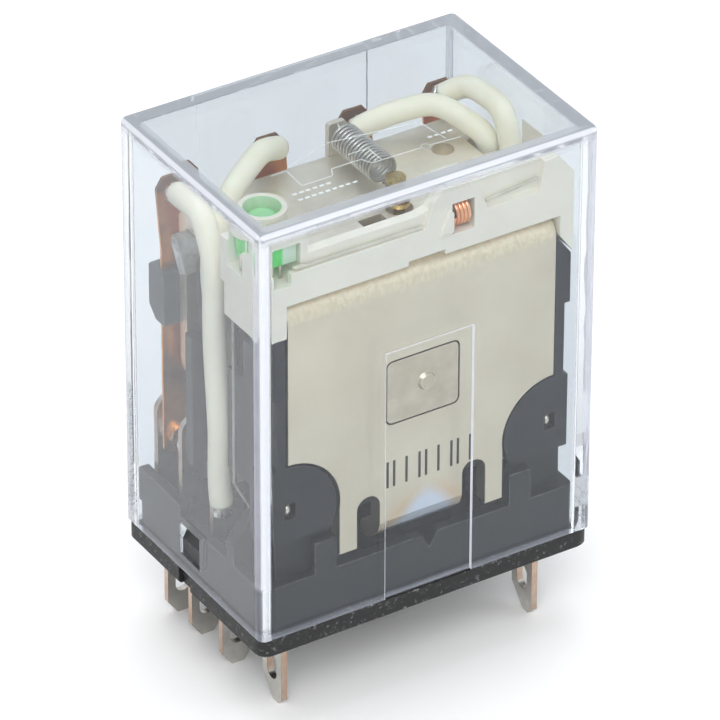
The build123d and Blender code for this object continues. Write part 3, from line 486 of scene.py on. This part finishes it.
# a darker copy of the tinned wire: painted shade for the lamp's left wire
shaded_wire = metal("shaded_wire", srgb(168, 166, 158), srgb(138, 136, 130), (0.35, 0.5), grain=8.0)
solder = metal("solder", srgb(222, 222, 220), srgb(180, 180, 180), (0.14, 0.4), patch=1.2, grain=2.5, bump=0.03)
spring_bronze = changeover_bronze()
tape = winding_tape()
lamp_green = lamp_body()
print_white = plastic("print_white", srgb(232, 235, 235), srgb(218, 221, 221), (0.5, 0.7), grain=6.0)
stamp_dark = plastic("stamp_dark", srgb(72, 70, 68), srgb(52, 50, 48), (0.5, 0.7), grain=6.0)

dress(case_clear, "cover")
dress(base_plastic, "base")
dress(bobbin_plastic, "bobbin")
dress(card_plastic, "contact_card")
dress(holder_white, "led_holder")
dress(yoke_nickel, "yoke")
dress(core_nickel, "core")
dress(iron_nickel, "armature")
dress(tape, "coil_tape")
dress(copper_wire, "coil_winding", "coil_wire_left", "coil_wire_right", "choke_coil")
dress(lamp_green, "led_lamp")
dress(tinned_wire, "led_wire_front", "led_wire_right")
dress(shaded_wire, "led_wire_left")
dress(contact_silver, "moving_contacts", "no_contacts", "nc_contacts")
dress(anchor_brass, "spring_anchor")
dress(spring_steel, "return_spring")
dress(coil_blade_tin, "coil_terminal_left", "coil_terminal_right")
for pole in (1, 2, 3, 4):
    dress(spring_bronze, f"moving_spring_{pole}")
    dress(blade_tin, f"com_terminal_{pole}", f"no_terminal_{pole}", f"nc_terminal_{pole}")
    dress(lead_sleeve, f"flex_lead_{pole}")


# ------------------------------------------------------------------ mesh helpers
def make_mesh(name, corners, faces, shader, body, slot, smooth=True):
    mesh = bpy.data.meshes.new(name)
    mesh.from_pydata([Vector(c) * MM for c in corners], [], faces)
    mesh.validate()
    mesh.update()
    piece = bpy.data.objects.new(name, mesh)
    bpy.context.scene.collection.objects.link(piece)
    mesh.materials.append(shader.material)
    if smooth:
        mesh.polygons.foreach_set("use_smooth", [True] * len(mesh.polygons))
    if body:
        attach(piece, body)
    return piece


def relaxed(points, spacing, passes):
    """The route through the points at even spacing, with its corners eased like soft wire's."""
    points = [Vector(p) for p in points]
    even = [points[0]]
    for start, end in zip(points, points[1:]):
        steps = max(1, round((end - start).length / spacing))
        even += [start.lerp(end, k / steps) for k in range(1, steps + 1)]
    for _ in range(passes):
        inner = [(a + 2 * b + c) / 4 for a, b, c in zip(even, even[1:], even[2:])]
        even = [even[0], *inner, even[-1]]
    return even


def tube(path, radius, sides=14, hollow=0.0):
    """Corners and faces of a round tube along the path; radius is a number or a function of 0..1.
    With hollow, the ends are dished in by that share of the radius."""
    size = radius if callable(radius) else (lambda share: radius)
    corners, faces = [], []
    ahead = (path[1] - path[0]).normalized()
    side = ahead.orthogonal().normalized()
    last = len(path) - 1
    for k, point in enumerate(path):
        turned = (path[min(k + 1, last)] - path[max(k - 1, 0)]).normalized()
        side = (ahead.rotation_difference(turned) @ side).normalized()
        ahead = turned
        other = ahead.cross(side)
        r = size(k / last)
        for s in range(sides):
            angle = 2 * math.pi * s / sides
            corners.append(point + r * (math.cos(angle) * side + math.sin(angle) * other))
    for k in range(last):
        for s in range(sides):
            t = (s + 1) % sides
            faces.append((k * sides + s, k * sides + t, (k + 1) * sides + t, (k + 1) * sides + s))
    inwards = ((0, (path[1] - path[0]).normalized()), (last, (path[-2] - path[-1]).normalized()))
    for end, inward in inwards:
        ring = [end * sides + s for s in range(sides)]
        middle = len(corners)
        corners.append(path[end] + inward * hollow * size(end / last))
        for s in range(sides):
            a, b = ring[s], ring[(s + 1) % sides]
            faces.append((b, a, middle) if end == 0 else (a, b, middle))
    return corners, faces


def joined(*parts):
    """Several corner and face lists as one."""
    corners, faces = [], []
    for more_corners, more_faces in parts:
        shift = len(corners)
        corners += more_corners
        faces += [tuple(i + shift for i in face) for face in more_faces]
    return corners, faces


LUMPS_PER_RADIUS = 1.6


def bead(centre, radii, seed, lump=0.22, rings=14, sides=20):
    """A lumpy drop, such as set solder."""
    centre = Vector(centre)
    corners, faces = [], []
    for i in range(1, rings):
        lift = math.pi * i / rings
        for s in range(sides):
            turn = 2 * math.pi * s / sides
            ray = Vector((math.sin(lift) * math.cos(turn), math.sin(lift) * math.sin(turn), math.cos(lift)))
            swell = 1 + lump * noise.noise(ray * LUMPS_PER_RADIUS + Vector((seed, 0, 0)))
            corners.append(centre + Vector((ray.x * radii[0], ray.y * radii[1], ray.z * radii[2])) * swell)
    for i in range(rings - 2):
        for s in range(sides):
            t = (s + 1) % sides
            faces.append((i * sides + s, (i + 1) * sides + s, (i + 1) * sides + t, i * sides + t))
    top, bottom = len(corners), len(corners) + 1
    corners.append(centre + Vector((0, 0, radii[2])))
    corners.append(centre - Vector((0, 0, radii[2])))
    for s in range(sides):
        t = (s + 1) % sides
        faces.append((top, s, t))
        faces.append((bottom, (rings - 2) * sides + t, (rings - 2) * sides + s))
    return corners, faces


BOX_FACES = [(3, 2, 1, 0), (4, 5, 6, 7), (0, 1, 5, 4), (1, 2, 6, 5), (2, 3, 7, 6), (3, 0, 4, 7)]


def slab(low, high):
    """A flat block between two corners, for stamped marks."""
    (x0, y0, z0), (x1, y1, z1) = low, high
    corners = [(x0, y0, z0), (x1, y0, z0), (x1, y1, z0), (x0, y1, z0),
               (x0, y0, z1), (x1, y0, z1), (x1, y1, z1), (x0, y1, z1)]
    return [Vector(c) for c in corners], BOX_FACES


def strands(path, bundle, wire, count=7, twist=1.2):
    """A bare stranded end: wires laid round the path."""
    parts = []
    for n in range(count):
        line = []
        for k, point in enumerate(path):
            ahead = (path[min(k + 1, len(path) - 1)] - path[max(k - 1, 0)]).normalized()
            side = ahead.orthogonal().normalized()
            other = ahead.cross(side)
            angle = 2 * math.pi * (n / (count - 1) + twist * k / (len(path) - 1))
            reach = 0.0 if n == count - 1 else bundle
            line.append(point + reach * (math.cos(angle) * side + math.sin(angle) * other))
        parts.append(tube(line, wire, 8))
    return joined(*parts)


# ------------------------------------------------------------------ flexible leads
SPRING_FACE = 6.35
POLES = (-10.725, -3.575, 3.575, 10.725)
LEAD_R = 0.85
BARE_R, STRAND_R = 0.34, 0.17
OUTER_POLES = (1, 4)
OUTER_BLADE_SHIFT = 0.55
OUTER_BLADE_FACE, INNER_BLADE_FACE = -0.9, -0.3
ROUTES = {
    1: [(-10.73, 5.4, 30.4), (-11.9, 3.9, 31.6), (-12.1, 0.2, 32.1), (-12.05, -1.3, 29.0),
        (-12.05, -1.3, 22.0), (-12.05, -1.9, 15.0), (-11.9, -1.5, 10.4), (-11.7, -1.45, 8.5)],
    2: [(-3.4, 5.3, 31.0), (-5.6, 4.0, 32.2), (-9.9, 1.1, 31.7), (-11.15, 0.45, 28.8), (-11.15, 0.45, 25.5),
        (-10.35, 0.45, 21.0), (-10.35, 0.45, 9.2), (-3.57, 0.6, 9.2), (-3.57, 0.6, 6.6)],
    3: [(2.9, 5.2, 30.4), (4.6, 4.7, 31.3), (8.8, 3.9, 31.7), (11.2, 0.4, 29.9),
        (11.2, 0.4, 9.2), (3.57, 0.6, 9.2), (3.57, 0.6, 6.6)],
    4: [(10.5, 5.5, 30.8), (11.9, 4.4, 32.0), (12.1, 0.0, 32.1), (12.05, -1.4, 28.5),
        (12.05, -1.9, 15.0), (11.9, -1.5, 10.4), (11.7, -1.45, 8.5)],
}
for pole, route in ROUTES.items():
    path = relaxed(route, spacing=0.25, passes=26)
    sleeve = make_mesh(f"lead_sleeve_{pole}", *tube(path, LEAD_R, 20, hollow=0.3), lead_sleeve, None, "lead_sleeve")
    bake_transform(sleeve)
    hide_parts(f"flex_lead_{pole}")
    x = POLES[pole - 1]
    # bare end up to the spring, and the solder that holds it there
    tip = [path[0].lerp(Vector((x, SPRING_FACE, path[0].z - 0.3)), k / 6) for k in range(-1, 7)]
    make_mesh(f"lead_strands_top_{pole}", *strands(tip, BARE_R, STRAND_R), tinned_wire, "armature", "tinned_wire")
    make_mesh(f"solder_top_{pole}", *bead((x, SPRING_FACE - 0.05, path[0].z - 0.35), (0.85, 0.5, 0.75), pole),
              solder, "armature", "tinned_wire")
    # and the same at the common blade
    blade_face = OUTER_BLADE_FACE if pole in OUTER_POLES else INNER_BLADE_FACE
    x = math.copysign(abs(x) + OUTER_BLADE_SHIFT, x) if pole in OUTER_POLES else x
    foot = [path[-1].lerp(Vector((x, blade_face, path[-1].z - 1.2)), k / 6) for k in range(-1, 7)]
    make_mesh(f"lead_strands_foot_{pole}", *strands(foot, BARE_R, STRAND_R), tinned_wire, "frame", "tinned_wire")
    make_mesh(f"solder_foot_{pole}", *bead((x, blade_face, path[-1].z - 1.25), (0.75, 0.45, 0.7), pole + 10),
              solder, "frame", "tinned_wire")

# ------------------------------------------------------------------ return spring
AXIS_X, AXIS_Z = 1.3, 31.0
COIL_FRONT, COIL_REAR = -1.15, 4.05
COIL_R, COIL_WIRE, COIL_TURNS = 1.03, 0.12, 14
STEPS_PER_TURN = 20
# loop round the anchor post in front, lying flat, and eye in the armature's hook behind, standing up
LOOP_X, LOOP_Y, LOOP_Z, LOOP_R = 1.6, -2.3, 30.28, 0.62
EYE_X, EYE_Y, EYE_Z, EYE_REACH, EYE_RISE = 1.2, 4.95, 31.35, 0.5, 0.42
wire = []
for k in range(22):
    angle = math.radians(250 - 330 * k / 21)
    wire.append(Vector((LOOP_X + LOOP_R * math.cos(angle), LOOP_Y + LOOP_R * math.sin(angle), LOOP_Z)))
wire.append(Vector((1.6, -1.6, 29.95)))
for k in range(COIL_TURNS * STEPS_PER_TURN + 1):
    share = k / (COIL_TURNS * STEPS_PER_TURN)
    angle = 2 * math.pi * COIL_TURNS * share - math.pi / 2
    wire.append(Vector((AXIS_X + COIL_R * math.cos(angle), COIL_FRONT + (COIL_REAR - COIL_FRONT) * share,
                        AXIS_Z + COIL_R * math.sin(angle))))
wire.append(Vector((1.3, 4.3, 30.1)))
for k in range(18):
    angle = math.radians(215 - 300 * k / 17)
    wire.append(Vector((EYE_X, EYE_Y + EYE_REACH * math.cos(angle), EYE_Z + EYE_RISE * math.sin(angle))))
coil = make_mesh("return_spring_wire", *tube(wire, COIL_WIRE, 10), spring_steel, None, "spring_steel")
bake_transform(coil)
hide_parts("return_spring")

# ------------------------------------------------------------------ small bare coil in the carrier
CHOKE_TURNS, CHOKE_R, CHOKE_WIRE = 4.5, 0.98, 0.155
CHOKE_LEFT, CHOKE_LENGTH, CHOKE_Y, CHOKE_Z = 2.46, 1.38, -7.15, 31.25
wire = []
for k in range(100):
    share = k / 99
    angle = 2 * math.pi * CHOKE_TURNS * share + math.pi
    wire.append(Vector((CHOKE_LEFT + CHOKE_LENGTH * share, CHOKE_Y + CHOKE_R * math.cos(angle),
                        CHOKE_Z + CHOKE_R * math.sin(angle))))
choke = make_mesh("choke_wire", *tube(wire, CHOKE_WIRE, 10), copper_wire, "frame", "copper_wire")
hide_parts("choke_coil")

# ------------------------------------------------------------------ solder and wire ends on the frame
make_mesh("lamp_wire_solder", *bead((-10.15, -7.95, 31.38), (0.55, 0.2, 0.2), 21, lump=0.3),
          tinned_wire, "frame", "tinned_wire")
beads = [bead((side * 10.4, -5.1, 7.5), (0.4, 0.5, 0.6), 30 + side) for side in (-1, 1)]
make_mesh("coil_wire_solder", *joined(*beads), solder, "frame", "tinned_wire")
LEG_LOW, LEG_MIDDLE, LEG_HIGH, LEG_WIRE = 30.25, 30.9, 31.56, 0.14
legs = [tube([Vector((x, y, LEG_LOW)), Vector((x, y + 0.04, LEG_MIDDLE)), Vector((x, y, LEG_HIGH))], LEG_WIRE, 8)
        for x, y in ((-11.85, -6.9), (-11.05, -6.95), (-12.15, -5.2))]
make_mesh("lamp_legs", *joined(*legs), tinned_wire, "frame", "tinned_wire")
PIN_X, PIN_WIRE = 10.9, 0.27
pins = [tube([Vector((side * PIN_X - 0.1, -7.4, 10.7)), Vector((side * PIN_X, -7.45, 11.1)),
              Vector((side * PIN_X + 0.05, -7.25, 11.55))], PIN_WIRE, 10) for side in (-1, 1)]
make_mesh("ear_pins", *joined(*pins), tinned_wire, "frame", "tinned_wire")

# ------------------------------------------------------------------ marks
# plain bars in place of the plate's stamp: pairs and single ones in turn
PLATE_FACE_Y, BAR_LOW, BAR_HIGH, BAR_WIDTH = -8.0, 10.3, 12.5, 0.2
FIRST_BAR_X, BAR_PITCH = -2.9, 1.34
marks = []
for n in range(6):
    for offset in ((0.0, 0.55) if n % 2 == 0 else (0.25,)):
        x = FIRST_BAR_X + BAR_PITCH * n + offset
        marks.append(slab((x, PLATE_FACE_Y - 0.012, BAR_LOW), (x + BAR_WIDTH, PLATE_FACE_Y + 0.02, BAR_HIGH)))
make_mesh("plate_marks", *joined(*marks), stamp_dark, "frame", "yoke_nickel", smooth=False)

PRINT_LOW, PRINT_HIGH = 35.465, 35.485
LINE, RING_LINE = 0.08, 0.07
DASH_PITCH, DASH_LENGTH, DASH_WIDTH = 0.55, 0.14, 0.22


def printed(points, width=LINE):
    """A printed line on the roof through points in X and Y."""
    parts = []
    for (x0, y0), (x1, y1) in zip(points, points[1:]):
        start, end = Vector((x0, y0, 0)), Vector((x1, y1, 0))
        along = (end - start).normalized() * width / 2
        across = Vector((-along.y, along.x, 0))
        flat = [start - along - across, end + along - across, end + along + across, start - along + across]
        corners = [Vector((p.x, p.y, PRINT_LOW)) for p in flat] + [Vector((p.x, p.y, PRINT_HIGH)) for p in flat]
        parts.append((corners, BOX_FACES))
    return joined(*parts)


def ring_points(x, y, radius, count=14):
    """Points of a closed ring in X and Y."""
    return [(x + radius * math.cos(2 * math.pi * k / count), y + radius * math.sin(2 * math.pi * k / count))
            for k in range(count + 1)]


# a generic line diagram, and rows of dashes in place of its wording
diagram = [printed([(-9.0, -3.0), (-7.8, -3.0), (-7.9, -5.2), (-5.4, -5.2), (-5.0, -4.4), (-2.6, -4.4), (-2.2, -5.2),
                    (1.8, -5.3)]),
           printed([(2.5, -5.3), (4.9, -5.5)]),
           printed(ring_points(2.15, -5.3, 0.33), RING_LINE),
           printed([(-7.4, -2.6), (-3.6, -1.3), (3.5, -2.3), (3.9, -5.1)]),
           printed([(-3.0, -3.4), (-1.4, -3.4), (-1.4, -5.2)])]
for y, start, count in ((-5.9, -9.0, 6), (-6.7, -9.0, 9), (-4.4, 3.0, 4)):
    for n in range(count):
        x = start + DASH_PITCH * n
        diagram.append(printed([(x, y), (x + DASH_LENGTH, y)], DASH_WIDTH))
make_mesh("roof_print", *joined(*diagram), print_white, "frame", "holder_white", smooth=False)

# ------------------------------------------------------------------ floor, light, camera
# all in metres
FLOOR_Z, FLOOR_REACH = cad_low.z, 3.0
floor = bpy.data.meshes.new("floor")
floor.from_pydata([(x * FLOOR_REACH, y * FLOOR_REACH, FLOOR_Z) for x, y in ((-1, -1), (1, -1), (1, 1), (-1, 1))],
                  [], [(0, 1, 2, 3)])
floor_piece = bpy.data.objects.new("floor", floor)
bpy.context.scene.collection.objects.link(floor_piece)
floor_shader = Shader("floor_pale")
floor_shader.colour(floor_shader.mix(floor_shader.span(floor_shader.noise(0.01, 2.0), 0.3, 0.7),
                                     srgb(247, 247, 248), srgb(250, 250, 250)))
floor_shader.set(Roughness=0.85)
floor.materials.append(floor_shader.material)

world = bpy.data.worlds.new("studio")
bpy.context.scene.world = world
world.use_nodes = True
sky = world.node_tree.nodes["Background"]
sky.inputs["Color"].default_value = (0.95, 0.975, 1.0, 1.0)
sky.inputs["Strength"].default_value = 0.8


def softbox(name, place, aim, size, power, colour):
    """A square studio lamp."""
    lamp = bpy.data.lights.new(name, "AREA")
    lamp.shape = "SQUARE"
    lamp.size = size
    lamp.energy = power
    lamp.color = colour
    holder = bpy.data.objects.new(name, lamp)
    bpy.context.scene.collection.objects.link(holder)
    holder.location = place
    holder.rotation_mode = "QUATERNION"
    holder.rotation_quaternion = (Vector(aim) - Vector(place)).to_track_quat("-Z", "Y")


AIM = (0.0, 0.0, 0.016)
softbox("key", (-0.22, -0.34, 0.42), AIM, 0.30, 1.42, (1.0, 0.98, 0.95))
softbox("fill", (0.45, -0.25, 0.22), AIM, 0.35, 0.5, (0.95, 0.97, 1.0))
softbox("top", (0.0, 0.15, 0.5), AIM, 0.4, 0.8, (1.0, 1.0, 1.0))

AZIMUTH, ELEVATION, ROLL = math.radians(-32.14), math.radians(33.16), math.radians(0.19)
DISTANCE = 0.5015
TARGET = Vector((0.00014, 0.0, 0.01548))
SENSOR, LENS = 36.0, 350.65
back = Vector((math.sin(AZIMUTH) * math.cos(ELEVATION), -math.cos(AZIMUTH) * math.cos(ELEVATION),
               math.sin(ELEVATION)))
level = Vector((0, 0, 1)).cross(back).normalized()
upright = back.cross(level)
right = level * math.cos(ROLL) + upright * math.sin(ROLL)
up = upright * math.cos(ROLL) - level * math.sin(ROLL)
eye = TARGET + back * DISTANCE
lens = bpy.data.cameras.new("camera")
lens.sensor_width = SENSOR
lens.lens = LENS
lens.clip_start = 0.01
lens.clip_end = 20.0
camera = bpy.data.objects.new("camera", lens)
bpy.context.scene.collection.objects.link(camera)
camera.matrix_world = Matrix(((right.x, up.x, back.x, eye.x), (right.y, up.y, back.y, eye.y),
                              (right.z, up.z, back.z, eye.z), (0, 0, 0, 1)))
bpy.context.scene.camera = camera
bpy.context.scene.view_settings.view_transform = "Standard"
# light that the case's walls guide along themselves needs many turns before it leaves
cycles = bpy.context.scene.cycles
cycles.max_bounces = 32
cycles.glossy_bounces = 24
cycles.transmission_bounces = 32
